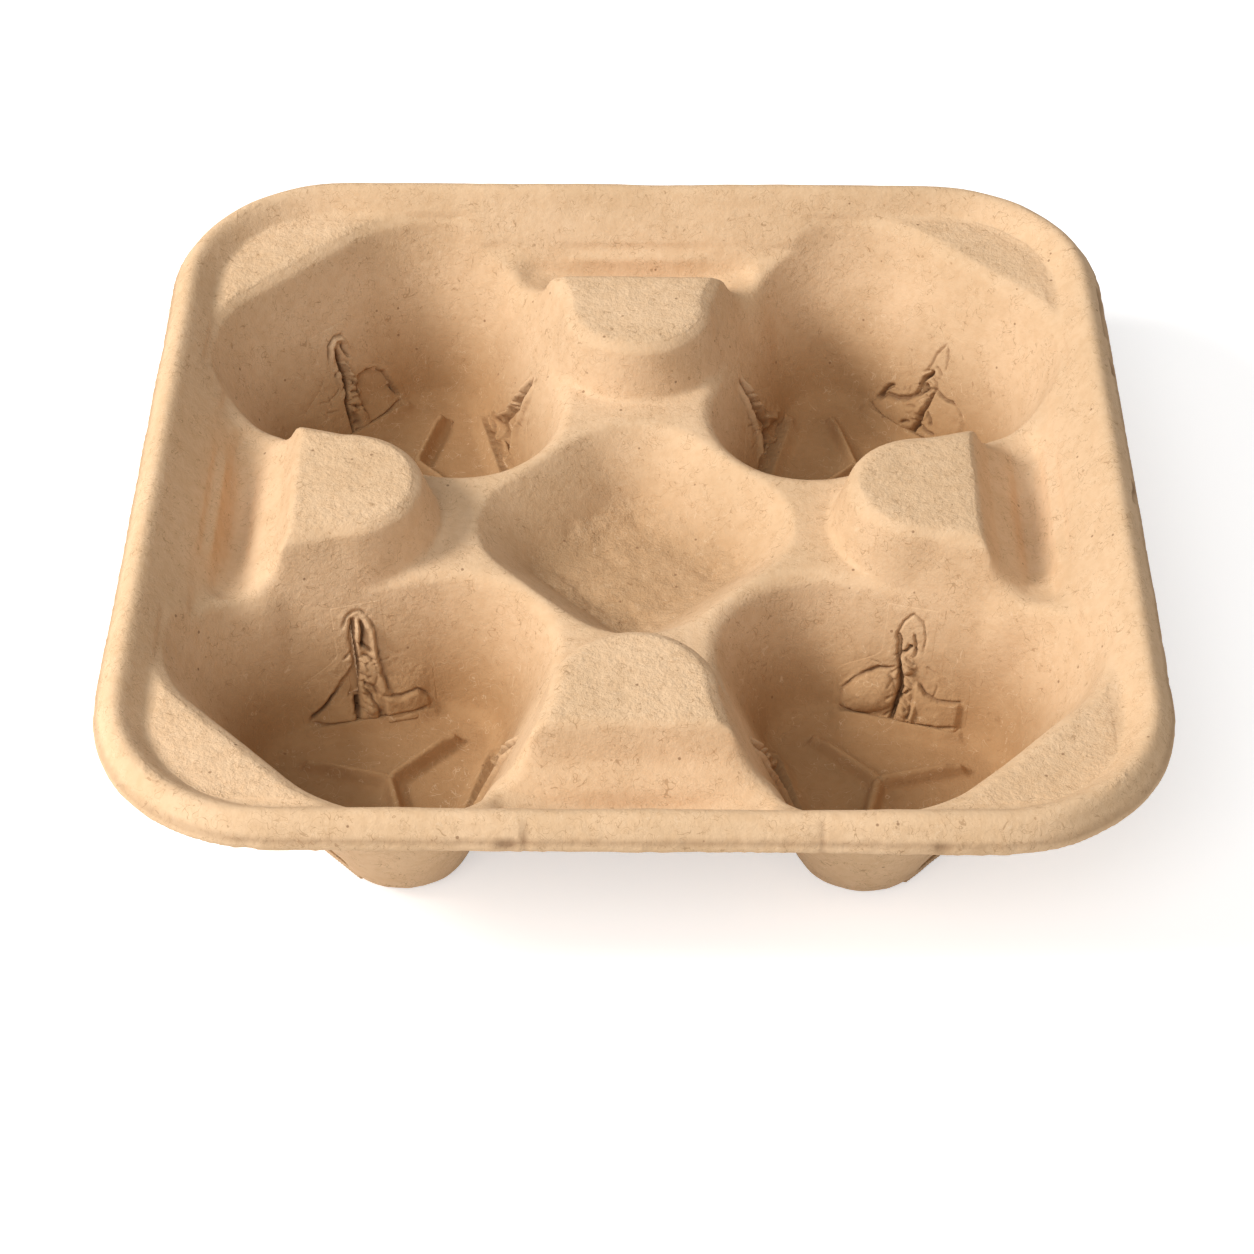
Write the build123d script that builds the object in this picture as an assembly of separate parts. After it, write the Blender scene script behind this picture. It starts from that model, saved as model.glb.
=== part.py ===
from build123d import *
import os
from math import atan, cos, degrees, pi, radians, sin, sqrt, tan

# Moulded fibre carrier for four cups: one thin wall, made as the space between its upper and lower sides.
# Millimetres. The origin is under the middle of the tray, on the table, and +Z is up.
# A draft is the angle of a wall from upright. A drop is a depth under the crest of the rim.
# A share is a part of the tray's width or of another size, so the wells and posts grow with the tray.

# Overall sizes
tray_width = 215.0
tray_height = 48.5
tray_corner = 38.3
wall = 2.4

# Rim: a crest with a sloping skirt outside, which ends in a lip
lip_width = 0.8
lip_height = 2.7
skirt_drop = 3.9
skirt_draft = 34.0
crest_width = 2.4
crest_bevel = 1.1

# Basin inside the rim, down to the deck that holds the post tops and the corner lands
deck_drop = 4.9
basin_draft = 42.0
deck_bevel = 1.8
bevel_draft = 57.0

# Cup wells: rounded triangles that widen upwards until they nearly reach the foot of the basin
well_place_share = 0.5326
well_rim_gap = 1.0
lobe_turn = 15.0  # Two lobes of each well point this far off the straight way to the rim
lobe_share = 0.55
well_draft = 24.0
well_floor_bevel = 2.0

# Y rib on each well floor, and a bead along the foot of each flat
rib_length_share = 0.94
rib_width = 4.6
rib_height = 2.7
bead_width = 5.0
bead_length_share = 1.62
bead_height = 2.0
rib_draft = 25.0

# Slits, each an upside-down T through a flat
slit_arm_width = 27.0
slit_arm_height = 4.4
slit_stem_width = 3.0
slit_stem_height = 17.0
slit_depth = 18.0

# Posts between the wells, with a rounded front and a stepped outer face
post_inset = 33.9
post_length_share = 0.1265
post_radius_share = 0.0763
post_draft = 19.0
post_face_round = 2.2
groove_width = 4.0
groove_drop = 12.0
groove_round = 4.4
ledge_width = 4.6
ledge_drop = 15.2
ledge_round = 1.5

# Channel between each post and the rim, with a stepped shelf on the rim side
step_inset = 14.5
step_height = 1.7
step_set_back = 0.3
shelf_width = 3.0
shelf_fall = 1.3
shelf_round = 1.0
channel_drop = 26.0
channel_floor_width = 3.0
channel_length_share = 0.205
channel_draft = 11.0
channel_end_draft = 25.0
channel_round = 1.4
side_length_share = 0.419

# Middle: the saddles between wells, and the square pocket turned by 45 degrees
saddle_drop = 17.4
saddle_width = 2.4
saddle_bevel = 1.5
pocket_drop = 32.0
pocket_draft = 45.0
pocket_corner_round = 5.0
pocket_floor_bevel = 3.0

sky = 12.0  # How far the solids and cuts run on above the crest and below the table
overrun = 1.2  # How far a cut runs on into a space that is empty
mouth_overlap = 2.2  # How far the cutter of a mouth's bevel reaches down into its well
same_level = 0.01  # An edge nearer than this to a height lies at that height
upright = 0.3  # An edge that rises at least this much in each mm of its length counts as upright


def slope(draft):
    return tan(radians(draft))


def turn(draft):
    """Sideways move of the corner between a floor and a wall, for each mm that both move down."""
    return tan(radians(90 - draft) / 2)


# Heights
crest = tray_height
deck = crest - deck_drop
saddle = crest - saddle_drop

# Half widths of the rim, from its edge inwards
half = tray_width / 2
skirt_half = half - lip_width
crest_half = skirt_half - skirt_drop * slope(skirt_draft)
basin_half = crest_half - crest_width
deck_half = basin_half - deck_drop * slope(basin_draft)

# Wells: a reach is the distance from a well's axis to the far side of a lobe
well_centre = well_place_share * deck_half
deck_reach = (deck_half - well_rim_gap - well_centre) / cos(radians(lobe_turn))
flat_distance = (deck_reach - (deck - wall) * slope(well_draft)) / (2 - lobe_share)
lobe_radius = lobe_share * flat_distance
saddle_reach = 2 * flat_distance - lobe_radius + (saddle - wall) * slope(well_draft)
rib_length = rib_length_share * flat_distance
bead_length = bead_length_share * flat_distance

# Posts, and the space between them and the rim
post_face = half - post_inset
post_length = post_length_share * tray_width
post_radius = post_radius_share * tray_width
post_centre = post_face - post_length + post_radius
side_length = side_length_share * tray_width
channel_floor_length = channel_length_share * tray_width
step_distance = half - step_inset
step_drop = (basin_half - step_distance) / slope(basin_draft)

# Pocket
pocket_distance = well_centre * sqrt(2) - saddle_reach - saddle_width


def square(half_size):
    """Outline of the tray, grown or shrunk with its corners kept round about the same centres."""
    return RectangleRounded(2 * half_size, 2 * half_size, half_size - half + tray_corner)


def prism(outline, low, high, draft=0):
    """Outline extruded from one height to another. A positive draft opens it upwards."""
    return Pos(0, 0, low) * extrude(outline, high - low, taper=-draft)


def around(shape):
    return [Rot(0, 0, 90 * i) * shape for i in range(4)]


def mirrored(shape):
    """A shape and its mirror images in the other three quarters."""
    return [shape, Rot(0, 0, 180) * shape, mirror(shape, about=Plane.YZ), mirror(shape, about=Plane.XZ)]


def edges_at(shape, level):
    """Edges that lie wholly at one height."""
    found = []
    for edge in shape.edges():
        if all(abs((edge @ along).Z - level) < same_level for along in (0, 0.5, 1)):
            found.append(edge)
    return found


def upright_edges(shape):
    return [edge for edge in shape.edges() if abs(edge.tangent_at(0.5).Z) > upright]


def open_pit(low, high, walls):
    """Space between two heights, out to flat walls: (direction, distance at the low end, draft)."""
    pit = prism(Rectangle(2 * half, 2 * half), low, high)
    for direction, distance, draft in walls:
        across = Vector(cos(radians(direction)), sin(radians(direction)), 0)
        side = Plane(origin=across * distance + Vector(0, 0, low), z_dir=across - Vector(0, 0, slope(draft)))
        pit = split(pit, bisect_by=side, keep=Keep.BOTTOM)
    return pit


def rounded_pit(sides, low, high, near, corner, draft):
    """Pit with flat walls, one of them towards 45 degrees, and a cone round each corner between them."""
    bend = cos(pi / sides)
    centre = (near - corner) / bend
    chord_draft = degrees(atan(slope(draft) * bend))
    flats = []
    chords = []
    for i in range(sides):
        flats.append((45 + 360 * i / sides, near, draft))
        chords.append((45 + 360 * (i + 0.5) / sides, centre + corner * bend, chord_draft))
    whole = open_pit(low, high, flats)
    pit = open_pit(low, high, flats + chords)
    cone = upright_cone(low, high, corner, corner + (high - low) * slope(draft))
    for direction, distance, chord_slope in chords:
        pit += whole & (Rot(0, 0, direction) * Pos(centre, 0, 0) * cone)
    return pit


def upright_cone(low, high, low_radius, high_radius):
    cone = Cone(low_radius, high_radius, high - low, align=(Align.CENTER, Align.CENTER, Align.MIN))
    return Pos(0, 0, low) * cone


def outer_mass(offset):
    """Everything under the rim, up to the crest, with its outer edge bevelled on the upper side of the wall."""
    foot = crest - skirt_drop - offset * tan(radians(skirt_draft / 2))
    base = square(skirt_half - offset)
    body = prism(base, -sky, foot)
    if offset > 0:
        return body + prism(base, foot, crest - offset, -skirt_draft)
    low = crest - crest_bevel
    edge = square(crest_half + crest_bevel * slope(skirt_draft))
    return body + prism(base, foot, low, -skirt_draft) + prism(edge, low, crest, -bevel_draft)


def basin(offset):
    """Inside of the rim, down to the deck, with its upper edge bevelled."""
    low = deck_half + offset * turn(basin_draft)
    pit = prism(square(low), deck - offset, crest + sky, basin_draft)
    if offset == 0:
        edge = square(basin_half - crest_bevel * slope(basin_draft))
        pit += prism(edge, crest - crest_bevel, crest + sky, bevel_draft)
    return pit


def open_cup(offset):
    """Rounded triangle of a cup well, before the posts are left standing in it. A flat faces the corner."""
    floor = wall - offset
    spread = offset * turn(well_draft)
    cup = rounded_pit(3, floor, crest + sky, flat_distance + spread, lobe_radius + spread, well_draft)
    cup = chamfer(edges_at(cup, floor), well_floor_bevel + offset * turn(well_draft))
    return Pos(well_centre, well_centre, 0) * cup


def cup_mouth(level, width):
    """Cutter for the bevel round the mouth of a cup well at one height. Its lower part lies inside the well."""
    bevel_low = level - width / (slope(bevel_draft) - slope(well_draft))
    low = bevel_low - mouth_overlap
    spread = (bevel_low - wall) * slope(well_draft) - mouth_overlap * slope(bevel_draft)
    mouth = rounded_pit(3, low, level, flat_distance + spread, lobe_radius + spread, bevel_draft)
    return Pos(well_centre, well_centre, 0) * mouth


def well(offset):
    """A cup well with the two nearest posts left standing in it."""
    cup = open_cup(offset)
    if offset == 0:
        cup += cup_mouth(deck, deck_bevel)
        cup += cup_mouth(saddle, saddle_bevel) & prism(Circle(post_centre), wall, saddle)
    return cup - [post(offset), Rot(0, 0, -90) * post(offset)]


def post(offset):
    """Round body of the post at +Y, from the table to the deck: it widens downwards."""
    high = deck - offset
    top = post_radius - offset * turn(post_draft)
    cone = upright_cone(0, high, top + high * slope(post_draft), top)
    if offset == 0:
        foot = top - deck_bevel + high * slope(bevel_draft)
        cone = cone & upright_cone(0, high, foot, top - deck_bevel)
    return Pos(0, post_centre, 0) * cone


def side_profile(offset):
    """Section of the space between a post and the rim: outwards from the middle, and up."""
    groove = post_face + groove_width
    shelf_drop = step_drop + step_height
    corners = [(post_face - groove_width, crest + sky, 0), (post_face - groove_width, deck, 0),
               (post_face, deck, post_face_round), (groove, crest - groove_drop, groove_round),
               (groove + ledge_width, crest - ledge_drop, ledge_round),
               (step_distance - shelf_width, crest - shelf_drop - shelf_fall, shelf_round),
               (step_distance - step_set_back, crest - shelf_drop, 0),
               (step_distance, crest - step_drop, 0),
               (basin_half + sky * slope(basin_draft), crest + sky, 0)]
    outline = make_face(Polyline(*[(x, y) for x, y, radius in corners], close=True))
    if offset > 0:
        return grown(outline, offset)
    for x, y, radius in corners:
        if radius > 0:
            corner = outline.vertices().sort_by_distance((x, y, 0))[0]
            outline = fillet(corner, radius)
    return outline


def grown(face, amount):
    """Face made larger by the same amount all round, its corners kept sharp."""
    return offset(face, amount=amount, kind=Kind.INTERSECTION)


def side_cuts(offset):
    return around(extrude(Plane.YZ * side_profile(offset), side_length / 2, both=True))


def channel(offset):
    """Blind slot in the floor between a post and the rim, for the side at +Y."""
    floor = crest - channel_drop - offset
    side_way = channel_floor_width / 2 + offset * turn(channel_draft)
    end_way = channel_floor_length / 2 + offset * turn(channel_end_draft)
    walls = [(90, side_way, channel_draft), (270, side_way, channel_draft),
             (0, end_way, channel_end_draft), (180, end_way, channel_end_draft)]
    pit = open_pit(floor, crest - groove_drop, walls)
    pit = fillet(upright_edges(pit), channel_round + offset / 2)
    middle = (post_face + groove_width + ledge_width + step_distance - shelf_width) / 2
    return Pos(0, middle, 0) * pit


def middle_cut(offset):
    """Space over the saddles, between the fronts of the four posts."""
    space = prism(Circle(post_centre), saddle - offset, deck - offset)
    return space - around(post(offset))


def pocket(offset):
    """Square pocket in the middle, its corners towards the posts."""
    depth = pocket_drop - saddle_drop
    floor = crest - pocket_drop - offset
    spread = offset * turn(pocket_draft)
    near = pocket_distance - depth * slope(pocket_draft) + spread
    pit = rounded_pit(4, floor, saddle - offset, near, pocket_corner_round + spread, pocket_draft)
    return chamfer(edges_at(pit, floor), pocket_floor_bevel + offset * turn(pocket_draft))


def mass(offset):
    """Solid under one side of the wall: offset 0 is under the upper side."""
    body = outer_mass(offset) - basin(offset)
    body -= side_cuts(offset)
    body -= around(channel(offset))
    body -= middle_cut(offset)
    body -= pocket(offset)
    return body - mirrored(well(offset))


def toward_flats(shape):
    """Copies of a shape made on the +X side of the Z axis, one for each flat of the well at +X +Y."""
    return [Pos(well_centre, well_centre, 0) * Rot(0, 0, 45 + 120 * i) * shape for i in range(3)]


def floor_ribs():
    """Y rib, its arms towards the lobes, and the beads."""
    arm = Pos(-rib_length / 2, 0) * Rectangle(rib_length + rib_width, rib_width)
    bead = Pos(flat_distance, 0) * Rectangle(bead_width, bead_length)
    arms = toward_flats(prism(arm, wall / 2, wall + rib_height, -rib_draft))
    return arms + toward_flats(prism(bead, wall / 2, wall + bead_height, -rib_draft))


def slit():
    """Cutter for an upside-down T through a flat: a wide arm over the bead, and a stem up from it."""
    low = wall + bead_height
    arm = Pos(0, low + slit_arm_height / 2) * Rectangle(slit_arm_width, slit_arm_height)
    stem = Pos(0, low + slit_arm_height + slit_stem_height / 2) * Rectangle(slit_stem_width, slit_stem_height)
    start = flat_distance - bead_width / 2
    return Pos(start, 0, 0) * extrude(Plane.YZ * (arm + stem), slit_depth)


def outer_lip():
    """Lip at the foot of the skirt."""
    foot = crest - skirt_drop
    return prism(square(half), foot - lip_height, foot) - prism(square(skirt_half - wall), foot - lip_height, foot)


def below_lip():
    """Space outside the tray under the lip, cut from the skirt."""
    low = -2 * sky
    high = crest - skirt_drop - lip_height
    return prism(square(half + sky), low, high) - prism(square(skirt_half - wall - overrun), low, high)


def cup_tray():
    tray = mass(0) - mass(wall)
    tray = tray - below_lip() + outer_lip()
    ribs = []
    for rib in floor_ribs():
        ribs += mirrored(rib)
    tray += ribs
    for cut in toward_flats(slit()):
        tray -= mirrored(cut)
    return tray


if __name__ == "__main__":
    os.makedirs("parts", exist_ok=True)
    export_step(cup_tray(), "parts/cup_tray.step")
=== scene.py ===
import bpy
import bmesh
import math
import numpy as np
from mathutils import Matrix, Vector


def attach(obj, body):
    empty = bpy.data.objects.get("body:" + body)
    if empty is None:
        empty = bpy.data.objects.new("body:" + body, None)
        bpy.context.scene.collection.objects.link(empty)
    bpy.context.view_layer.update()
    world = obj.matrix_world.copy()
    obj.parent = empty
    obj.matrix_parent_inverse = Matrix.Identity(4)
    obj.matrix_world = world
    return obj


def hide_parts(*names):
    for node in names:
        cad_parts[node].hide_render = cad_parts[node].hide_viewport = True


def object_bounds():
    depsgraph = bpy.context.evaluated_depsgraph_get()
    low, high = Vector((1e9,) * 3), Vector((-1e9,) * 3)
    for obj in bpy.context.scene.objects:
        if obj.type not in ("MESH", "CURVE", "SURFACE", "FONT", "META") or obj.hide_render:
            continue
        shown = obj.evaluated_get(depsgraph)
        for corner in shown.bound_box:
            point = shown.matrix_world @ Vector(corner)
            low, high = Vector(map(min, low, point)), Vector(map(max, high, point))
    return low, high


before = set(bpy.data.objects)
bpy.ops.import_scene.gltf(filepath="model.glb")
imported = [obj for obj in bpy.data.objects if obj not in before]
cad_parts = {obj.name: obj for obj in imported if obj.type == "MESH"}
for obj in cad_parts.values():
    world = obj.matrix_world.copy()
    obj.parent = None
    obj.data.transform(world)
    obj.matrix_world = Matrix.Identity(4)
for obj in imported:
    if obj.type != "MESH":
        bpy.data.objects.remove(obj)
cad_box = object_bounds()
scene = bpy.context.scene

# Sizes in metres, the same as in the solid
MM = 0.001
HALF = cad_box[1][0]
WELL = 51.8 * MM
DECK = 43.6 * MM
FLAT = 19.1 * MM
FLOOR = 2.4 * MM
BEAD_TOP = 4.4 * MM
DRAFT = math.radians(24)
POCKET_FLOOR = 16.5 * MM
POCKET_RADIUS = 26 * MM
CHANNEL_MIDDLE = 86 * MM
CHANNEL_HALF = 22 * MM
LEDGE = 33 * MM

# Each well by its sides of the middle lines and its name, and the directions of its flats in degrees
WELLS = ((1, 1, "back_right"), (-1, 1, "back_left"), (1, -1, "front_right"), (-1, -1, "front_left"))
BACK_TURN = 45
SIDE_TURN = 165
FRONT_TURN = 285
TURNS = (BACK_TURN, SIDE_TURN, FRONT_TURN)

# The skin of the tray, in metres and triangles
VOXEL = 0.6 * MM
TRIANGLES = 192000
ROOM = 1.3 * MM

# Noises, each as its height in mm, the size of its features and its seed
SKIN = ((0.25, 22 * MM, 1), (0.12, 8 * MM, 2), (0.04, 3 * MM, 3))
WRINKLES = ((0.10, 2.6 * MM, 4), (0.07, 1.4 * MM, 5))
WANDER_U = ((0.35, 3.1, 11), (0.15, 1.1, 12))
WANDER_V = ((0.35, 2.7, 13), (0.15, 1.2, 14))
TORN_GRAIN = ((0.10, 2.2, 15), (0.07, 1.0, 16))

# Torn areas and the sheets that close them, in mm on a flat
STEM_ROOM = 5.4
ARM_ROOM = 9.2
ARM_FADE = (8, 15)
SHEET_HALF = 15.3
SHEET_FOOT = -1.7
SHEET_TOP = 26.5
FINE_PITCH = 0.24
COARSE_PITCH = 0.45
OPEN_FOOT = 0.6
OPEN_ARM = (13, 4.4)
OPEN_STEM = (1.2, 22.6)


# Noise and steps
def lattice(seed, n=64):
    """A cube of random numbers between -1 and 1."""
    return np.random.default_rng(seed).uniform(-1, 1, (n, n, n)).astype(np.float32)


def noise(co, size, seed):
    """Smooth noise between -1 and 1 at points, with features about as large as size."""
    grid = lattice(seed)
    n = grid.shape[0]
    shift = 0.37 * n
    p = co / size + shift
    i = np.floor(p).astype(np.int64)
    f = (p - i).astype(np.float32)
    f = f * f * (3 - 2 * f)
    out = np.zeros(len(co), np.float32)
    for dx in (0, 1):
        wx = f[:, 0] if dx else 1 - f[:, 0]
        for dy in (0, 1):
            wy = f[:, 1] if dy else 1 - f[:, 1]
            for dz in (0, 1):
                wz = f[:, 2] if dz else 1 - f[:, 2]
                out += wx * wy * wz * grid[(i[:, 0] + dx) % n, (i[:, 1] + dy) % n, (i[:, 2] + dz) % n]
    return out


def layered(co, layers):
    """Sum of the noises in a list of heights, sizes and seeds."""
    total = 0
    for height, size, seed in layers:
        total = total + height * noise(co, size, seed)
    return total


def step(x, low, high):
    """Rise smoothly from 0 at low to 1 at high."""
    t = np.clip((x - low) / (high - low), 0, 1)
    return t * t * (3 - 2 * t)


def fade(x, low, high):
    """Fall smoothly from 1 at low to 0 at high."""
    return 1 - step(x, low, high)


def bell(x, middle, width):
    """The exponent of a bell curve."""
    return -((x - middle) / width) ** 2


def skin_lift(co):
    """Unevenness of the moulded skin, the same for the tray and its flaps."""
    return layered(co, SKIN) * MM


# Meshes as arrays
def vectors(vertices, name):
    """One vector of each vertex, as rows."""
    values = np.empty(len(vertices) * 3, np.float32)
    vertices.foreach_get(name, values)
    return values.reshape(-1, 3).astype(np.float64)


def points(mesh):
    return vectors(mesh.vertices, "co")


def normals(mesh):
    return vectors(mesh.vertices, "normal")


def edges(mesh):
    """The two ends of each edge, as two lists."""
    ends = np.empty(len(mesh.edges) * 2, np.int32)
    mesh.edges.foreach_get("vertices", ends)
    return ends[0::2], ends[1::2]


def store(mesh, co):
    mesh.vertices.foreach_set("co", co.astype(np.float32).ravel())
    mesh.update()


def paint(mesh, name, values):
    """Store one number at each point, for the material."""
    layer = mesh.attributes.new(name, "FLOAT", "POINT")
    layer.data.foreach_set("value", np.asarray(values, np.float32))


def finish_mesh(mesh, material):
    """Give the mesh smooth shading and its material."""
    mesh.polygons.foreach_set("use_smooth", [True] * len(mesh.polygons))
    mesh.materials.append(material)


def applied(obj):
    """The object's mesh with its modifiers applied."""
    graph = bpy.context.evaluated_depsgraph_get()
    mesh = bpy.data.meshes.new_from_object(obj.evaluated_get(graph))
    old = obj.data
    obj.modifiers.clear()
    obj.data = mesh
    bpy.data.meshes.remove(old)
    return mesh


def relax(co, a, b, rounds, weight):
    """Move each point part of the way to the mean of its neighbours, so edges come out rounded."""
    n = len(co)
    count = np.maximum(np.bincount(a, minlength=n) + np.bincount(b, minlength=n), 1)
    for _ in range(rounds):
        for axis in range(3):
            c = co[:, axis]
            total = np.bincount(a, weights=c[b], minlength=n) + np.bincount(b, weights=c[a], minlength=n)
            co[:, axis] = c + weight * (total / count - c)
    return co


def relax_part(co, a, b, rounds, weight):
    """The same for the points with a weight only."""
    keep = weight > 0
    place = np.cumsum(keep) - 1
    both = keep[a] & keep[b]
    co[keep] = relax(co[keep], place[a[both]], place[b[both]], rounds, weight[keep])
    return co


def inside_box(co):
    """Keep points inside the box of the solid."""
    low, high = np.array(cad_box[0]), np.array(cad_box[1])
    return np.clip(co, low, high)


# Flats of the wells
class Flat:
    """One flat of a well, with u to the right seen from inside, v up the slope and h off the wall."""

    def __init__(self, well, turn):
        sx, sy, self.name = well
        way = np.array([sx * math.cos(math.radians(turn)), sy * math.sin(math.radians(turn)), 0])
        reach = FLAT + (BEAD_TOP - FLOOR) * math.tan(DRAFT)
        self.origin = np.array([sx * WELL, sy * WELL, BEAD_TOP]) + reach * way
        self.across = np.array([way[1], -way[0], 0])
        self.up = math.sin(DRAFT) * way + np.array([0, 0, math.cos(DRAFT)])
        self.off = -math.cos(DRAFT) * way + np.array([0, 0, math.sin(DRAFT)])

    def local(self, co):
        q = (co - self.origin) / MM
        return q @ self.across, q @ self.up, q @ self.off

    def world(self, u, v, h):
        along = u[:, None] * self.across + v[:, None] * self.up + h[:, None] * self.off
        return self.origin + along * MM


def torn_width(v):
    """Half width of the torn area in mm: wide at the foot, narrow round the stem."""
    return STEM_ROOM + ARM_ROOM * fade(v, *ARM_FADE)


def make_room(co):
    """Sink the wall a little under each torn area, so the flaps have room."""
    side_fade = (-3.2, -1.2)
    top_fade = (22, 24.5)
    foot_fade = (-2.5, -1)
    near_wall = 1.1
    moved = co.copy()
    for well in WELLS:
        for turn in TURNS:
            flat = Flat(well, turn)
            u, v, h = flat.local(co)
            width = torn_width(v)
            area = fade(abs(u), width + side_fade[0], width + side_fade[1])
            area = area * fade(v, *top_fade) * step(v, *foot_fade)
            near = (np.abs(h) < near_wall) & (area > 0)
            moved[near] -= ROOM * area[near, None] * flat.off
    return moved


# Shapes drawn on a flat, all in mm
def along(u, v, line):
    """Distance to a broken line, and the share of its length where the nearest point is."""
    best = np.full(u.shape, np.inf)
    share = np.zeros(u.shape)
    spans = [math.dist(p, q) for p, q in zip(line, line[1:])]
    done = 0
    for p, q, span in zip(line, line[1:], spans):
        du, dv = (q[0] - p[0]) / span, (q[1] - p[1]) / span
        t = np.clip((u - p[0]) * du + (v - p[1]) * dv, 0, span)
        far = np.hypot(u - p[0] - t * du, v - p[1] - t * dv)
        nearer = far < best
        best = np.where(nearer, far, best)
        share = np.where(nearer, (done + t) / sum(spans), share)
        done += span
    return best, share


def ridge(u, v, line, height, width):
    """A rounded ridge along a line, lower at its ends."""
    end_height = 0.3
    end_slope = 6
    far, share = along(u, v, line)
    ends = np.minimum(1, end_height + end_slope * np.minimum(share, 1 - share))
    return height * ends * np.exp(bell(far, 0, width))


def crease(u, v, line, depth, width):
    """A ridge turned inwards, a little deeper and wider than its numbers."""
    deeper = 1.4
    wider = 0.04
    return ridge(u, v, line, -deeper * depth, width + wider)


def under(u, v, line, rise, soft=0.5):
    """Raise or sink what lies under a broken line that runs from left to right."""
    outer = 0.6
    inner = 0.2
    us = [p[0] for p in line]
    vs = [p[1] for p in line]
    edge = np.interp(u, us, vs)
    within = step(u, us[0] - outer, us[0] + inner) * fade(u, us[-1] - inner, us[-1] + outer)
    return rise * within * step(edge - v, -soft / 2, soft / 2)


def dome(u, v, place, radii, height, turn=0.0):
    """An oval rise, or a hollow where the height is negative."""
    fullness = 0.6
    c, s = math.cos(math.radians(turn)), math.sin(math.radians(turn))
    a = ((u - place[0]) * c + (v - place[1]) * s) / radii[0]
    b = ((v - place[1]) * c - (u - place[0]) * s) / radii[1]
    return height * np.clip(1 - a * a - b * b, 0, 1) ** fullness


def foot_bulge(u, v, height):
    """The swelling of the wall round the foot of a slit."""
    top_fade = (1, 11)
    side_fade = (8, 14.5)
    return height * fade(v, *top_fade) * fade(abs(u), *side_fade)


def every(shape, u, v, rows):
    """Sum of one kind of shape, each given as what follows u and v in its call."""
    return sum(shape(u, v, *row) for row in rows)


# The four torn slits that face the camera, each with its lines first and then their heights or depths
def torn_tongue(u, v):
    """Front left: the left arm pushed in, the right arm out, and a twisted strip in the stem."""
    stem = [(-1.3, 22), (-1.9, 18), (-1.4, 13), (-2.2, 8.3), (-2.9, -1)]
    left = [(-14, 0.2), (-10.1, 3.6), (-7.3, 6.2), (-3.4, 10.1), (-1.6, 12)]
    right = [(3.5, 3.8), (6.9, 3.2), (10.4, 4.1), (12.7, 2.4), (14.6, 0.2)]
    lip = [(1.4, 22), (2.6, 18.6), (2.9, 13.5), (2.8, 8.9), (3.3, 5.7), (4.5, 3.4)]
    beside_lip = [(p[0] + 0.9, p[1] + 0.2) for p in lip]
    strip = [(-0.5, 21.5), (-0.7, 15.8)]
    strip_edge = [(0.4, 21.5), (0.6, 18), (0.2, 15.5)]
    top_fold = [(-0.4, 16.2), (1, 15.6), (2.4, 14.2)]
    high_fold = [(-0.2, 13.8), (1.2, 13.4), (2.4, 12)]
    low_fold = [(-0.4, 8), (1.3, 6.8), (2.6, 4.6)]
    foot_fold = [(-0.8, 6.6), (1, 4.8), (2.1, -0.3)]
    arch = [(-3.6, 20.6), (-2.7, 22.7), (-0.8, 24.1), (0.9, 24), (2.4, 22.4)]
    h = foot_bulge(u, v, 1.5)
    h += under(u, v, left, -1.5) * step(v, -1.5, 6) + under(u, v, right, 1.1)
    h += every(ridge, u, v, ((lip, 1.0, 0.8), (strip, 1.0, 0.6)))
    h += every(dome, u, v, (((1.0, 10), (1.5, 3.4), 1.0), ((0.7, 1.8), (1.5, 2.8), 1.2)))
    tears = ((left, 1.0, 0.4), (right, 0.7, 0.3), (beside_lip, 0.5, 0.3), (strip_edge, 1.3, 0.35),
             (stem, 2.8, 0.5), (top_fold, 0.8, 0.28), (high_fold, 0.6, 0.25), (foot_fold, 0.9, 0.3),
             (low_fold, 0.6, 0.25), (arch, 0.45, 0.25))
    return h + every(crease, u, v, tears)


def torn_pillow(u, v):
    """Front right: a pillow on the left, a plate on the right and a knot in the stem."""
    left = [(-13.7, 1.6), (-12.7, 4.8), (-10.2, 7.8), (-5.7, 10.6), (-2.3, 11)]
    right = [(3, 9.2), (5.1, 6.5), (8.2, 5.4), (12.5, 5.9), (14.6, 4.8)]
    arch = [(-2.9, 17.5), (-1.9, 22), (0.2, 23.9), (2.4, 22.3), (3.6, 19), (3.4, 15.4)]
    high_stem = [(-2.2, 18.6), (-2.1, 16), (-1.9, 13.6)]
    low_stem = [(-1.9, 13.6), (-0.7, 10), (-0.3, 7), (-1.0, 1.5), (-1.3, -1.2)]
    over_knot = [(-1.3, 14.4), (0.8, 16.8)]
    side_fold = [(-0.4, 4.8), (0.6, 5.4), (1.4, 6.6)]
    foot_fold = [(1.9, 0.4), (2.7, 2), (2.4, 3.8)]
    top_fold = [(0.6, 19.5), (1.6, 17.4), (1.8, 15)]
    far_crack = [(12.2, 11), (13.4, 9.6), (14.4, 7.6)]
    h = foot_bulge(u, v, 0.9) + under(u, v, right, 0.9)
    h += every(dome, u, v, (((-7.4, 4.6), (6.8, 4.6), 2.2, 18), ((0.2, 12.2), (2.3, 2.1), 1.3),
                            ((1.6, 1.8), (2.3, 2.9), 1.4), ((1.2, 7.2), (1.8, 3.0), 0.7)))
    tears = ((left, 0.8, 0.3), (right, 0.6, 0.28), (high_stem, 2.4, 0.38), (low_stem, 2.4, 0.4),
             (over_knot, 1.0, 0.3), (side_fold, 1.0, 0.3), (foot_fold, 0.7, 0.25),
             (top_fold, 0.6, 0.28), (arch, 0.45, 0.24), (far_crack, 0.4, 0.24))
    return h + every(crease, u, v, tears)


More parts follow.
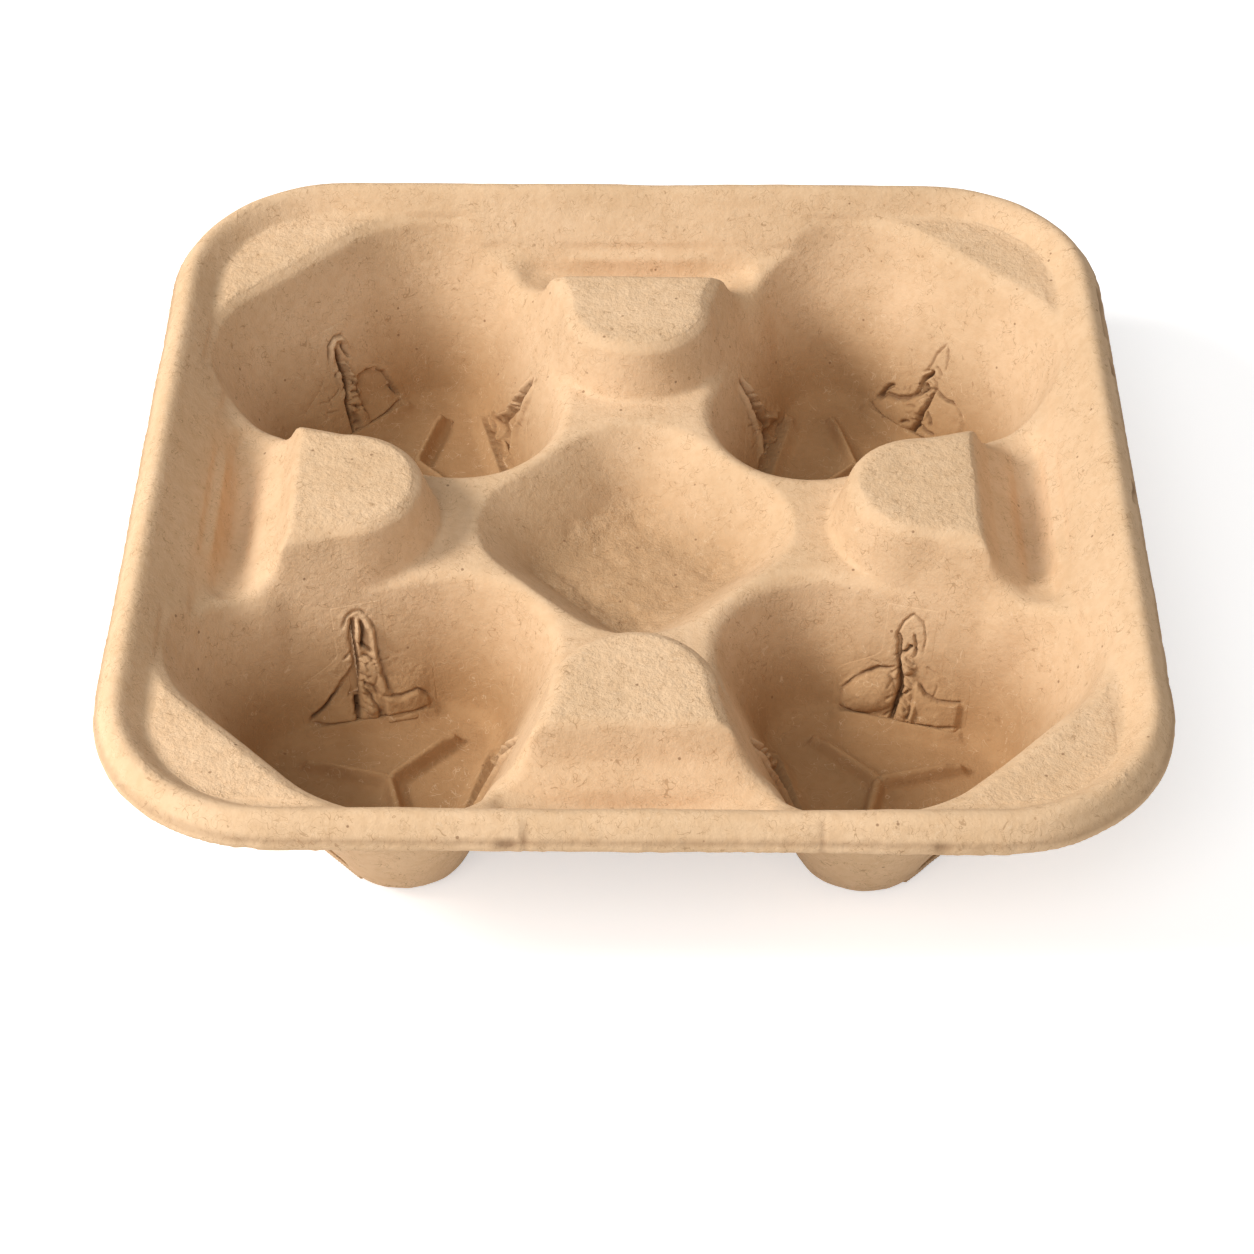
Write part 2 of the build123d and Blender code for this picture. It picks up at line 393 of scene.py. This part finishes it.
def torn_hollow(u, v):
    """Back left: the right arm pushed in and a rolled edge on each side of the stem."""
    loop = [(-1.6, 17), (-0.6, 20.6), (1.0, 22.2), (2.7, 21.7), (3.9, 20), (4.6, 17.4)]
    round_loop = [(p[0] * 1.3 - 0.4, p[1] + 0.9) for p in loop]
    stem = [(0.6, 19.4), (0.2, 15.1), (-0.1, 11.3), (-1.3, 7.9), (-2.3, 3), (-2.8, -1)]
    right = [(2.4, 9), (3.9, 11), (6.5, 11.5), (9.4, 10.4), (11, 8.6), (11.9, 5.5), (13.2, 1.2)]
    right_roll = [(1.0, 15.6), (2.3, 11.5), (3.3, 6.4)]
    left_roll = [(-1.3, 16), (-1.7, 11), (-2.4, 8)]
    high_fold = [(0.2, 12.4), (1.6, 11.2), (2.8, 8.6)]
    low_fold = [(-1.4, 5.8), (0.4, 5.2), (1.6, 3.6)]
    top_fold = [(2.2, 20.4), (2.6, 18), (3.6, 16.4)]
    h = foot_bulge(u, v, 1.0) + under(u, v, right, -1.9) * step(v, -1.5, 5)
    h += every(ridge, u, v, ((loop, 0.8, 0.55), (right_roll, 1.1, 0.6), (left_roll, 0.7, 0.5)))
    h += every(dome, u, v, (((0.9, 14.4), (0.9, 1.9), -1.8, 20), ((-1.2, 1.4), (1.1, 3.0), -2.0)))
    tears = ((right, 0.9, 0.35), (round_loop, 0.4, 0.25), (stem, 2.8, 0.5), (high_fold, 0.8, 0.3),
             (low_fold, 0.7, 0.28), (top_fold, 0.8, 0.3))
    return h + every(crease, u, v, tears)


def torn_lid(u, v):
    """Back right: a lid on the left that has slid over the stem, and cracks on the right."""
    top = [(-11.6, 2.2), (-8.9, 4.6), (-5.6, 5.4), (-3.2, 6.6), (0.1, 9.8), (2.5, 11.6)]
    crack = [(2.2, 12.2), (5, 11), (7, 10.7), (10, 11), (12, 9.6), (14.2, 8.4)]
    far_edge = [(-11.4, 2.8), (-10.5, 5.2), (-8.8, 7.3)]
    high_stem = [(-1.5, 8.4), (-1.3, 12.5), (0.5, 15.2)]
    low_stem = [(2.6, 11.4), (2.2, 6.4), (2.1, 2.6), (1.4, -1)]
    high_fold = [(3, 6), (4.6, 4.6), (5.2, 3.2)]
    low_fold = [(2.8, 2.4), (5, 1.6), (7.2, 1.8)]
    left_arch = [(-1.2, 14.4), (-0.6, 18), (-0.2, 19.7), (1.3, 22.7)]
    right_arch = [(1.9, 22.3), (3.0, 20), (3.5, 17.2)]
    h = foot_bulge(u, v, 0.7) + under(u, v, crack, 0.5, 1.0)
    h += every(dome, u, v, (((-4.4, 2.6), (8.4, 4.9), 1.9, 28), ((-0.4, 10.4), (0.9, 1.6), -2.4, -25)))
    tears = ((top, 1.3, 0.55), (far_edge, 1.4, 0.4), (high_stem, 2.2, 0.4), (low_stem, 1.8, 0.45),
             (crack, 1.0, 0.3), (high_fold, 0.8, 0.3), (low_fold, 0.8, 0.3), (left_arch, 0.45, 0.25),
             (right_arch, 0.5, 0.25))
    return h + every(crease, u, v, tears)


def torn_gap(u, v):
    """The slits seen edge-on: torn open, with curled edges."""
    left = [(-1.6, 20), (-2.6, 14), (-3.6, 8), (-8, 4), (-12, 1.5)]
    right = [(1.2, 20), (2.2, 14), (3.4, 8), (7, 4.5), (11, 2)]
    stem = [(0.2, 21), (-0.2, 15), (0.4, 8), (-0.4, 0)]
    h = every(dome, u, v, (((0.2, 4.5), (4.2, 8), -3.4), ((0, 14), (1.5, 6), -2.4),
                           ((-7.5, 2), (5, 2.6), -2.2, 12), ((7, 2.2), (5, 2.4), -1.8, -12)))
    h += every(ridge, u, v, ((left, 1.2, 0.7), (right, 1.5, 0.8)))
    return h + crease(u, v, stem, 2.0, 0.5)


# The slit of each well that faces the camera, in the order of WELLS, and where each kind has its stem
KINDS = (torn_lid, torn_hollow, torn_pillow, torn_tongue)
STEMS = {torn_lid: 0.4, torn_hollow: 0.1, torn_pillow: -0.4, torn_tongue: -1.4, torn_gap: 0.0}


def frayed(u, v, stem, rng):
    """Small folds beside the stem, like a loose plait, and a few thin cracks round the tear."""
    folds = 11
    cracks = 6
    fold_start = 0.5
    fold_pitch = 1.5
    foot = [(-14.2, 0.5), (-8, -0.5), (-1, -0.9), (6, -0.3), (14.2, 0.3)]
    h = np.zeros(u.shape)
    for k in range(folds):
        high = fold_start + fold_pitch * k + rng.uniform(-0.4, 0.4)
        side = 1 if k % 3 else -1
        fall = rng.uniform(0.8, 2.0)
        top = (stem + 0.2 * side, high + fall)
        middle = (stem + 1.4 * side, high + 0.7 * fall)
        end = (stem + 2.5 * side, high)
        h += crease(u, v, [top, middle, end], rng.uniform(0.35, 0.7), 0.24)
        h += dome(u, v, (stem + 1.3 * side, high - 0.2), (1.1, 0.9), 0.35, -35 * side)
    for k in range(cracks):
        start = (rng.uniform(-7, 7), rng.uniform(6, 12))
        way = rng.uniform(0.1, 1.0) * math.pi
        reach = rng.uniform(2.5, 5)
        end = (start[0] + reach * math.cos(way), start[1] + 0.7 * reach * math.sin(way))
        h += crease(u, v, [start, end], 0.22, 0.14)
    return h + crease(u, v, foot, 0.6, 0.3)


# Sheets that close the torn slits
def crease_shade_share(h, rows, cols, pitch):
    """How far each point lies below the mean of the points round it, as a share: painted shade in the
    creases.
    """
    reach = 0.9
    full_depth = 0.7
    wide = max(1, round(reach / pitch))
    grid = np.pad(h.reshape(rows, cols), wide, "edge")
    total = np.zeros((rows, cols))
    for j in range(2 * wide + 1):
        for k in range(2 * wide + 1):
            total += grid[j:j + rows, k:k + cols]
    mean = total / (2 * wide + 1) ** 2
    return np.clip((mean - h.reshape(rows, cols)) / full_depth, 0, 1).ravel()


def torn_height(u, v, kind, flip, seed):
    """Height of a torn sheet off its flat, and how much of it is torn, both at each point."""
    side_fade = (-2.4, -0.8)
    top_fade = (23.6, 25.2)
    border_width = 0.9
    top_border = (25.3, 26.2)
    proud = 0.05
    sunk = 0.7
    first_seed = 40
    sheet_gap = 7.3
    spot = np.stack([u, v, np.full(u.shape, sheet_gap * seed)], 1)
    uw = u + layered(spot, WANDER_U)
    vw = v + layered(spot, WANDER_V)
    width = torn_width(v)
    torn = fade(abs(u), width + side_fade[0], width + side_fade[1]) * fade(v, *top_fade)
    h = kind(flip * uw, vw)
    h += frayed(flip * uw, vw, STEMS[kind], np.random.default_rng(first_seed + seed))
    h = h * torn + torn * layered(spot, TORN_GRAIN)
    border = np.maximum(step(abs(u), width, width + border_width), step(v, *top_border))
    return h + (proud - sunk * border), torn


def sheet_faces(rows, cols):
    """Faces of a closed sheet: its front, its back and the band round its edge."""
    count = cols * rows
    first = (np.arange(rows - 1)[:, None] * cols + np.arange(cols - 1)).ravel()
    quads = np.stack([first, first + 1, first + cols + 1, first + cols], 1)
    ring = list(range(cols)) + [k * cols + cols - 1 for k in range(1, rows)]
    ring += list(range(count - 2, count - cols - 1, -1)) + [k * cols for k in range(rows - 2, 0, -1)]
    ring = np.array(ring)
    after = np.roll(ring, -1)
    sides = np.stack([ring, ring + count, after + count, after], 1)
    return np.concatenate([quads, quads[:, ::-1] + count, sides])


def flap(well, turn, kind, flip, pitch, seed, material):
    """A torn slit, closed by its own flaps: a thin sheet with its edges hidden in the wall."""
    open_depth = -3.2
    wall_depth = -1.6
    back_depth = -1.95
    foot_rise = 0.9
    foot_fade = (0.2, 1.2)
    open_thickness = 0.6
    wall_thickness = 0.9
    wrinkled = 0.4
    flat = Flat(well, turn)
    us = np.arange(-SHEET_HALF, SHEET_HALF + pitch / 2, pitch)
    vs = np.arange(SHEET_FOOT, SHEET_TOP, pitch)
    u, v = [g.ravel() for g in np.meshgrid(us, vs)]
    h, torn = torn_height(u, v, kind, flip, seed)
    arm = (abs(u) < OPEN_ARM[0]) & (v > OPEN_FOOT) & (v < OPEN_ARM[1])
    stem = (abs(u) < OPEN_STEM[0]) & (v > OPEN_FOOT) & (v < OPEN_STEM[1])
    opening = arm | stem
    below = foot_rise * step(-v, *foot_fade)
    h = np.maximum(h, np.where(opening, open_depth, wall_depth + below))
    depth = np.where(opening, h - open_thickness, np.maximum(h - wall_thickness, back_depth + below))
    lift = skin_lift(flat.world(u, v, 0 * h)) / MM
    front = flat.world(u, v, h + lift)
    back = flat.world(u, v, depth + lift)
    rows, cols = len(vs), len(us)
    mesh = bpy.data.meshes.new("torn_slit_%s_%d" % (flat.name, turn))
    sheet = inside_box(np.concatenate([front, back]))
    mesh.from_pydata(sheet.tolist(), [], sheet_faces(rows, cols).tolist())
    finish_mesh(mesh, material)
    # Painted shade in the creases of the torn sheet
    crease_shade_and_marks = crease_shade_share(h, rows, cols, pitch) * torn
    # Painted shade deep inside the tray, on the front of the sheet only
    shade = depth_shade_share(front, np.ones(front.shape))
    paint(mesh, "wrinkled", np.concatenate([wrinkled * torn, wrinkled * torn]))
    paint(mesh, "crease_shade_and_marks", np.concatenate([crease_shade_and_marks, crease_shade_and_marks]))
    paint(mesh, "inside", np.concatenate([shade, 0 * shade]))
    piece = bpy.data.objects.new(mesh.name, mesh)
    scene.collection.objects.link(piece)
    return piece


# Tray
def tray_copy():
    """The solid's own mesh, welded, as a new object."""
    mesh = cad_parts["cup_tray"].data.copy()
    mesh.name = "tray"
    bm = bmesh.new()
    bm.from_mesh(mesh)
    bmesh.ops.remove_doubles(bm, verts=bm.verts, dist=1e-6)
    bm.to_mesh(mesh)
    bm.free()
    mesh.materials.clear()
    tray = bpy.data.objects.new("tray", mesh)
    scene.collection.objects.link(tray)
    return tray


def channel_share(co):
    """One in each channel between a post and the rim, reaching higher at its ends, and nothing elsewhere."""
    side_fade = (7 * MM, 13 * MM)
    end_fade = (CHANNEL_HALF + 3 * MM, CHANNEL_HALF + 12 * MM)
    near_end = (CHANNEL_HALF - 9 * MM, CHANNEL_HALF - 2 * MM)
    end_rise = 6 * MM
    blur = 2 * MM
    total = np.zeros(len(co))
    for across, length in ((0, 1), (1, 0)):
        off = abs(abs(co[:, across]) - CHANNEL_MIDDLE)
        reach = abs(co[:, length])
        top = LEDGE + end_rise * step(reach, *near_end)
        here = fade(off, *side_fade) * fade(reach, *end_fade) * fade(co[:, 2], top - blur, top + blur)
        total = np.maximum(total, here)
    return total


def soften_channels(co, a, b):
    """Make the channels shallower, most at their ends, and round them off, as the photograph shows."""
    full_depth = 11 * MM
    outer_part = 70 * MM
    middle_rise = 7.0
    end_rise = 3.2
    rounds = 60
    weight = 0.65
    share = channel_share(co)
    deep = np.clip((LEDGE - co[:, 2]) / full_depth, 0, 1)
    ends = np.zeros(len(co))
    for across, length in ((1, 0), (0, 1)):
        outer = abs(co[:, across]) > outer_part
        ends = np.maximum(ends, np.where(outer, abs(co[:, length]) / CHANNEL_HALF, 0))
    rise = middle_rise + end_rise * np.clip(ends, 0, 1) ** 2
    co[:, 2] += rise * MM * deep * share
    return relax_part(co, a, b, rounds, weight * share)


def sharpen_floors(co, no):
    """Lift the ribs and the beads of the well floors, which the rounding has lowered."""
    bead_out = 17.4
    bead_width = 1.3
    bead_lift = 1.1
    rib_width = 1.2
    rib_lift = 0.9
    inner = step(no[:, 2], 0.2, 0.5) * fade(co[:, 2], 6 * MM, 8 * MM)
    lift = np.zeros(len(co))
    for sx, sy, _ in WELLS:
        x = sx * co[:, 0] - WELL
        y = sy * co[:, 1] - WELL
        for turn in TURNS:
            c, s = math.cos(math.radians(turn)), math.sin(math.radians(turn))
            out, side = (x * c + y * s) / MM, (y * c - x * s) / MM
            bead = np.exp(bell(out, bead_out, bead_width)) * fade(abs(side), 10, 14)
            rib = np.exp(bell(side, 0, rib_width)) * step(-out, 0, 1) * fade(-out, 14, 17)
            lift = np.maximum(lift, np.maximum(bead_lift * bead, rib_lift * rib))
    co[:, 2] += lift * inner * MM
    return co


def depth_shade_share(co, no):
    """Painted shade: one deep inside the tray, where the colour is darkened to stand in for the shade of the
    wells, and nothing at the rim and outside.
    """
    return step(no[:, 2], -0.05, 0.1) * fade(co[:, 2], 6 * MM, 32 * MM)


def rim_marks_and_shade(co):
    """Small dark marks in shallow dents: a notch, two seams and a smudge in front, a split on the right, a
    line at the lip. The seams and the smudge are dark in their own colour; the notch, the split and the line
    at the lip are dark partly as painted shade in their dents.
    """
    corner_middle = 69.2
    lip_reach = (35.2, 36.4)
    x, y, z = co[:, 0] / MM, co[:, 1] / MM, co[:, 2] / MM
    notch = 1.2 * np.exp(bell(x, -24, 1.7) + bell(z, 43.6, 1.0))
    seams = 0.4 * np.exp(bell(x, -20.6, 0.6)) + 0.4 * np.exp(bell(x, 36, 0.6))
    smudge = 0.7 * np.exp(bell(x, 58.5, 1.9) + bell(z, 43.4, 1.1))
    front = step(-y, 103, 105)
    wander = 1.1 * noise(np.stack([0 * y, y, 0 * y], 1) * MM, 4 * MM, 21)
    split = 0.9 * np.exp(bell(z - 45.2, wander, 0.45)) * (noise(co, 7 * MM, 22) > -0.1)
    right = step(x, 103.5, 105.5) * step(y, -55, -30) * fade(y, 62, 78)
    beyond = np.hypot(np.maximum(abs(x) - corner_middle, 0), np.maximum(abs(y) - corner_middle, 0))
    # The line at the lip is painted shade of the lip's edge, with a shallow groove
    lip = 0.55 * step(beyond, *lip_reach) * np.exp(bell(z, 44.3, 0.6))
    return np.clip(front * (notch + seams + smudge) + right * split + lip, 0, 1)


def in_pocket(co):
    """True for points over or under the middle pocket."""
    return np.hypot(co[:, 0], co[:, 1]) < POCKET_RADIUS


def wrinkled_share(co, no):
    """Where the skin is rough: the tops of the posts, the lands, the pocket's floor and the feet."""
    basin = np.maximum(abs(co[:, 0]), abs(co[:, 1])) < 95 * MM
    tops = step(no[:, 2], 0.85, 0.97) * basin * step(co[:, 2], DECK - 2.5 * MM, DECK - 1.2 * MM)
    low = fade(co[:, 2], POCKET_FLOOR + 2 * MM, POCKET_FLOOR + 6 * MM)
    pocket = in_pocket(co) * step(no[:, 2], 0.6, 0.9) * low
    feet = fade(co[:, 2], 6 * MM, 16 * MM) * step(-no[:, 2], -0.2, 0.2)
    return np.clip(tops + pocket + 0.7 * feet, 0, 1)


def rough_lift(co, no):
    """How far the skin of the tray stands proud: waves, wrinkles, a worn edge and the marks on the rim."""
    pocket_extra = 1.6
    edge_wear = 0.22
    mark_depth = 0.5
    rough = wrinkled_share(co, no)
    deep = 1 + pocket_extra * in_pocket(co)
    edge = step(np.maximum(abs(co[:, 0]), abs(co[:, 1])), HALF - 1.6 * MM, HALF - 0.8 * MM)
    lift = skin_lift(co) + rough * deep * MM * layered(co, WRINKLES)
    lift -= edge * MM * edge_wear * np.abs(noise(co, 2.4 * MM, 6))
    return lift - mark_depth * MM * rim_marks_and_shade(co)


def make_tray(material):
    """The visible tray: remeshed, rounded, softened, moved by noise and thinned out."""
    rounds = 5
    floor_weight = 0.15
    more_above = 0.35
    tray = tray_copy()
    remesh = tray.modifiers.new("skin", "REMESH")
    remesh.mode = "VOXEL"
    remesh.voxel_size = VOXEL
    mesh = applied(tray)
    co = points(mesh)
    a, b = edges(mesh)
    co = relax(co, a, b, rounds, floor_weight + more_above * step(co[:, 2], 5 * MM, 9 * MM))
    co = soften_channels(co, a, b)
    co = make_room(co)
    store(mesh, co)
    co = sharpen_floors(co, normals(mesh))
    store(mesh, co)
    no = normals(mesh)
    store(mesh, inside_box(co + no * rough_lift(co, no)[:, None]))
    thin = tray.modifiers.new("thin", "DECIMATE")
    thin.ratio = min(1, TRIANGLES / (2 * len(mesh.polygons)))
    mesh = applied(tray)
    store(mesh, inside_box(points(mesh)))
    finish_mesh(mesh, material)
    paint(mesh, "wrinkled", wrinkled_share(points(mesh), normals(mesh)))
    # Painted shade deep inside the tray
    paint(mesh, "inside", depth_shade_share(points(mesh), normals(mesh)))
    # Dark marks on the rim, partly painted shade in their dents
    paint(mesh, "crease_shade_and_marks", rim_marks_and_shade(points(mesh)))
    return tray


# Materials
class Nodes:
    """Short names for the nodes of one material or world."""

    def __init__(self, tree):
        self.tree = tree

    def new(self, kind, **values):
        node = self.tree.nodes.new(kind)
        for key, value in values.items():
            setattr(node, key, value)
        return node

    def link(self, a, b):
        self.tree.links.new(a, b)

    def painted(self, name):
        return self.new("ShaderNodeAttribute", attribute_name=name).outputs["Fac"]

    def moved(self, source, place):
        node = self.new("ShaderNodeMapping")
        node.inputs["Location"].default_value = place
        self.link(source, node.inputs["Vector"])
        return node.outputs["Vector"]

    def noise(self, source, scale, detail=3, rough=0.5, distortion=0.0):
        node = self.new("ShaderNodeTexNoise")
        node.inputs["Scale"].default_value = scale
        node.inputs["Detail"].default_value = detail
        node.inputs["Roughness"].default_value = rough
        node.inputs["Distortion"].default_value = distortion
        self.link(source, node.inputs["Vector"])
        return node.outputs["Fac"]

    def ramp(self, source, low, high, a=0.0, b=1.0):
        """A smooth change from a where the source is low to b where it is high."""
        node = self.new("ShaderNodeMapRange", interpolation_type="SMOOTHSTEP")
        node.inputs["From Min"].default_value = low
        node.inputs["From Max"].default_value = high
        node.inputs["To Min"].default_value = a
        node.inputs["To Max"].default_value = b
        self.link(source, node.inputs["Value"])
        return node.outputs["Result"]

    def fill(self, slot, value):
        """Set a slot to a number or a colour, or link an output to it."""
        if isinstance(value, (int, float)):
            slot.default_value = value
        elif isinstance(value, tuple):
            slot.default_value = (*value, 1)
        else:
            self.link(value, slot)

    def math(self, kind, a, b=0.0):
        node = self.new("ShaderNodeMath", operation=kind)
        self.fill(node.inputs[0], a)
        self.fill(node.inputs[1], b)
        return node.outputs["Value"]

    def mix(self, kind, factor, a, b):
        node = self.new("ShaderNodeMix", data_type="RGBA", blend_type=kind)
        colour_slots = (0, 6, 7)
        colour_output = 2
        for slot, value in zip(colour_slots, (factor, a, b)):
            self.fill(node.inputs[slot], value)
        return node.outputs[colour_output]

    def fibres(self, source, level, width, patch):
        """Thin curly lines where a noise crosses a level, kept only where the patch is high."""
        far = self.math("ABSOLUTE", self.math("SUBTRACT", source, level))
        return self.math("MULTIPLY", self.ramp(far, width * 0.4, width, 1.0, 0.0), patch)

    def specks(self, place, scale, radius, share):
        """Small dots, one in some of the cells."""
        node = self.new("ShaderNodeTexVoronoi")
        node.inputs["Scale"].default_value = scale
        self.link(place, node.inputs["Vector"])
        dot = self.ramp(node.outputs["Distance"], radius * 0.6, radius, 1.0, 0.0)
        pick = self.new("ShaderNodeSeparateColor")
        self.link(node.outputs["Color"], pick.inputs[0])
        return self.math("MULTIPLY", dot, self.ramp(pick.outputs[0], share, share - 0.02))

    def seen_directly(self):
        """One for camera and glossy rays, and the node that tells them apart from the others."""
        rays = self.new("ShaderNodeLightPath")
        seen = self.math("MAXIMUM", rays.outputs["Is Camera Ray"], rays.outputs["Is Glossy Ray"])
        return seen, rays


def new_material(name):
    """A material with its nodes, its shader and its output."""
    material = bpy.data.materials.new(name)
    material.use_nodes = True
    tree = material.node_tree
    return material, Nodes(tree), tree.nodes["Principled BSDF"], tree.nodes["Material Output"]


# Colours of the pulp, in linear light
PULP = (0.66, 0.445, 0.260)
PULP_PALE = (0.73, 0.502, 0.305)
BLOTCH = (0.90, 0.85, 0.79)
# The colour of the painted shade deep inside the tray
DEEP_SHADE = (0.57, 0.48, 0.37)
PALE_FIBRE = (0.80, 0.60, 0.40)
FINE_FIBRE = (0.36, 0.21, 0.10)
DARK_FIBRE = (0.30, 0.16, 0.07)
SPECK = (0.22, 0.11, 0.05)
# Painted shade in the creases of the flaps, and the dark of the marks on the rim, which is partly painted
# shade
CREASE_SHADE_AND_MARKS = (0.20, 0.10, 0.045)


def pulp_colour(m, here):
    """Pulp with blotches, with painted shade deep inside, with fibres and specks, and with painted shade in
    the creases of the flaps and dark marks on the rim.
    """
    cloud = m.noise(here, 38, 3, 0.6)
    blotch = m.noise(here, 420, 2, 0.6)
    base = m.mix("MIX", m.ramp(cloud, 0.3, 0.7), PULP, PULP_PALE)
    base = m.mix("MULTIPLY", m.ramp(blotch, 0.35, 0.7, 0.0, 0.5), base, BLOTCH)
    # Painted shade: darker deep inside the tray
    base = m.mix("MULTIPLY", m.painted("inside"), base, DEEP_SHADE)
    curls = m.noise(here, 360, 1, 0.5, 0.8)
    short = m.noise(m.moved(here, (0.7, 0.2, 0.4)), 640, 1, 0.5, 0.8)
    patch = m.ramp(m.noise(m.moved(here, (0.3, 0.1, 0.5)), 200, 1), 0.44, 0.50)
    layers = (
        (m.fibres(curls, 0.42, 0.010, patch), 0.28, PALE_FIBRE),
        (m.fibres(short, 0.5, 0.016, patch), 0.34, FINE_FIBRE),
        (m.fibres(curls, 0.55, 0.011, patch), 0.48, DARK_FIBRE),
        (m.specks(here, 240, 0.10, 0.30), 0.7, SPECK),
        # Painted shade in the creases of the flaps, and dark marks on the rim
        (m.painted("crease_shade_and_marks"), 0.75, CREASE_SHADE_AND_MARKS),
    )
    for mask, strength, colour in layers:
        base = m.mix("MIX", m.math("MULTIPLY", mask, strength), base, colour)
    return base


def pulp():
    material, m, bsdf, _ = new_material("fibre_pulp")
    here = m.new("ShaderNodeTexCoord").outputs["Object"]
    m.link(pulp_colour(m, here), bsdf.inputs["Base Color"])
    bsdf.inputs["Roughness"].default_value = 0.92
    bsdf.inputs["Specular IOR Level"].default_value = 0.25
    height = m.math("ADD", 1.3, m.math("MULTIPLY", m.painted("wrinkled"), 1.5))
    bump = m.new("ShaderNodeBump")
    bump.inputs["Strength"].default_value = 0.6
    bump.inputs["Distance"].default_value = 0.3 * MM
    m.link(m.math("MULTIPLY", m.noise(here, 640, 3, 0.72), height), bump.inputs["Height"])
    m.link(bump.outputs["Normal"], bsdf.inputs["Normal"])
    return material


def floor_white():
    """A pale floor that shows white and keeps the shadow."""
    material, m, bsdf, out = new_material("studio_floor")
    bsdf.inputs["Base Color"].default_value = (0.86, 0.85, 0.84, 1)
    bsdf.inputs["Roughness"].default_value = 0.9
    glow = m.new("ShaderNodeEmission")
    glow.inputs["Color"].default_value = (1, 1, 1, 1)
    seen, _ = m.seen_directly()
    m.link(m.math("MULTIPLY", seen, 0.5), glow.inputs["Strength"])
    both = m.new("ShaderNodeAddShader")
    m.link(bsdf.outputs[0], both.inputs[0])
    m.link(glow.outputs[0], both.inputs[1])
    m.link(both.outputs[0], out.inputs["Surface"])
    return material


# Stage, light and camera
def make_floor():
    bpy.ops.mesh.primitive_plane_add(size=8)
    floor = bpy.context.object
    floor.name = "floor"
    floor.location = (0, 0, -0.2 * MM)
    floor.data.materials.append(floor_white())


def make_world():
    """White to the eye and in reflections, and a weaker light on everything."""
    world_light = 0.37
    world_seen = 1.0
    world = bpy.data.worlds.new("studio")
    scene.world = world
    world.use_nodes = True
    m = Nodes(world.node_tree)
    back = world.node_tree.nodes["Background"]
    back.inputs["Color"].default_value = (1, 1, 1, 1)
    seen, rays = m.seen_directly()
    seen = m.math("MAXIMUM", seen, rays.outputs["Is Transmission Ray"])
    m.link(m.ramp(seen, 0.0, 1.0, world_light, world_seen), back.inputs["Strength"])


def make_lamp(name, turn, tilt, distance, size, power):
    """A square soft lamp, turned and raised in degrees, that looks at the tray."""
    data = bpy.data.lights.new(name, "AREA")
    data.size = size
    data.energy = power
    lamp = bpy.data.objects.new(name, data)
    scene.collection.objects.link(lamp)
    turn, tilt = math.radians(turn), math.radians(tilt)
    way = Vector((math.cos(tilt) * math.cos(turn), math.cos(tilt) * math.sin(turn), math.sin(tilt)))
    lamp.location = way * distance
    lamp.rotation_euler = way.to_track_quat("Z", "Y").to_euler()


def make_camera():
    """The camera of the photograph, fitted to the rim, the posts and the wells."""
    yaw = -0.005557
    pitch = 0.753647
    roll = 0.0015334
    distance = 0.615405
    target = Vector((-0.001483, -0.051361, 0.0485))
    focal_pixels = 3047.41
    photo_pixels = 1254
    sensor = 36
    ahead = Vector((math.sin(yaw) * math.cos(pitch), math.cos(yaw) * math.cos(pitch), -math.sin(pitch)))
    level = Vector((math.cos(yaw), -math.sin(yaw), 0))
    upright = level.cross(ahead)
    right = level * math.cos(roll) + upright * math.sin(roll)
    up = upright * math.cos(roll) - level * math.sin(roll)
    place = target - ahead * distance
    data = bpy.data.cameras.new("camera")
    data.sensor_fit = "HORIZONTAL"
    data.sensor_width = sensor
    data.lens = focal_pixels / photo_pixels * sensor
    data.clip_start = 0.01
    data.clip_end = 50
    camera = bpy.data.objects.new("camera", data)
    scene.collection.objects.link(camera)
    rows = [(right[i], up[i], -ahead[i], place[i]) for i in range(3)]
    camera.matrix_world = Matrix(rows + [(0, 0, 0, 1)])
    scene.camera = camera


def make_flaps(material):
    """The flaps of all wells: the kinds in the photograph where they show, and others elsewhere."""
    flaps = []
    for w, well in enumerate(WELLS):
        facing = BACK_TURN if well[1] > 0 else FRONT_TURN
        for t, turn in enumerate(TURNS):
            kind = KINDS[(w + t + 1) % len(KINDS)]
            flip = 1 if (w + t) % 2 else -1
            pitch = COARSE_PITCH
            if turn == SIDE_TURN:
                kind = torn_gap
                pitch = FINE_PITCH
            elif turn == facing:
                kind = KINDS[w]
                flip = 1
                pitch = FINE_PITCH
            flaps.append(flap(well, turn, kind, flip, pitch, len(TURNS) * w + t, material))
    return flaps


fibre = pulp()
for piece in [make_tray(fibre), *make_flaps(fibre)]:
    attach(piece, "root")
    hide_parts("cup_tray")

make_floor()
make_world()
make_lamp("key", turn=190, tilt=39, distance=1.6, size=0.42, power=23)
make_lamp("front", turn=250, tilt=48, distance=1.6, size=0.8, power=8.5)
make_camera()
scene.view_settings.view_transform = "Standard"
